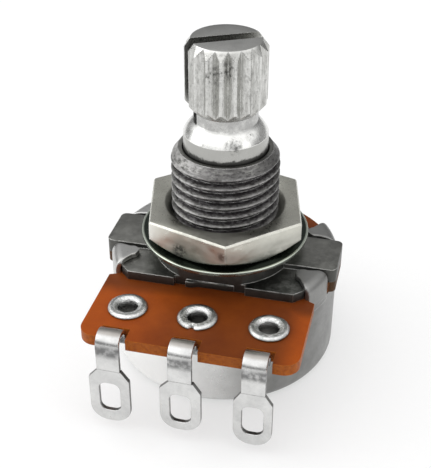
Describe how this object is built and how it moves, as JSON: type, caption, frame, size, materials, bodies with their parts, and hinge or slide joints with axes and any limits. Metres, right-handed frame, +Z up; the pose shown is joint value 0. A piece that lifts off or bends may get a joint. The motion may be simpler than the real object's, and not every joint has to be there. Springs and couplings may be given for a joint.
{
  "type": "rotary potentiometer",
  "caption": "Panel-mount rotary potentiometer with a split serrated shaft, threaded bushing, hex nut, washer and solder lugs.",
  "frame": {"origin": "shaft axis at the face of the plate's boss, where the front panel seats", "axes": "+Z up the shaft towards its tip; the solder lugs stand towards -Y; +X completes the right-handed frame"},
  "size_m": [0.0174, 0.0208, 0.0248],
  "materials": {
    "shaft_metal": "satin",
    "plate_zinc": "dull cast zinc",
    "nut_plating": "bright plated",
    "washer_steel": "bright plated",
    "spring_steel": "dark spring steel",
    "cover_steel": "satin plated",
    "board_laminate": "brown paper laminate",
    "eyelet_metal": "bright tinned",
    "lug_metal": "matt tinned",
    "carbon_film": "matt carbon",
    "silver_film": "matt silver ink",
    "rotor_plastic": "moulded",
    "wiper_bronze": "spring bronze"
  },
  "bodies": {
    "housing": {"mounting_plate": "plate_zinc", "hex_nut": "nut_plating", "flat_washer": "washer_steel", "rear_cover": "cover_steel", "terminal_board": "board_laminate", "eyelet_left": "eyelet_metal", "eyelet_centre": "eyelet_metal", "eyelet_right": "eyelet_metal", "terminal_left": "lug_metal", "terminal_centre": "lug_metal", "terminal_right": "lug_metal", "resistive_track": "carbon_film", "end_contact_left": "silver_film", "end_contact_right": "silver_film", "collector_ring": "silver_film"},
    "spindle": {"shaft": "shaft_metal", "retaining_clip": "spring_steel", "rotor": "rotor_plastic", "wiper_contact": "wiper_bronze"}
  },
  "joints": [
    {"name": "shaft_turn", "type": "hinge", "parent": "housing", "child": "spindle", "pos_m": [0, 0, 0], "axis": [0, 0, 1], "range_deg": [-150, 150]}
  ]
}
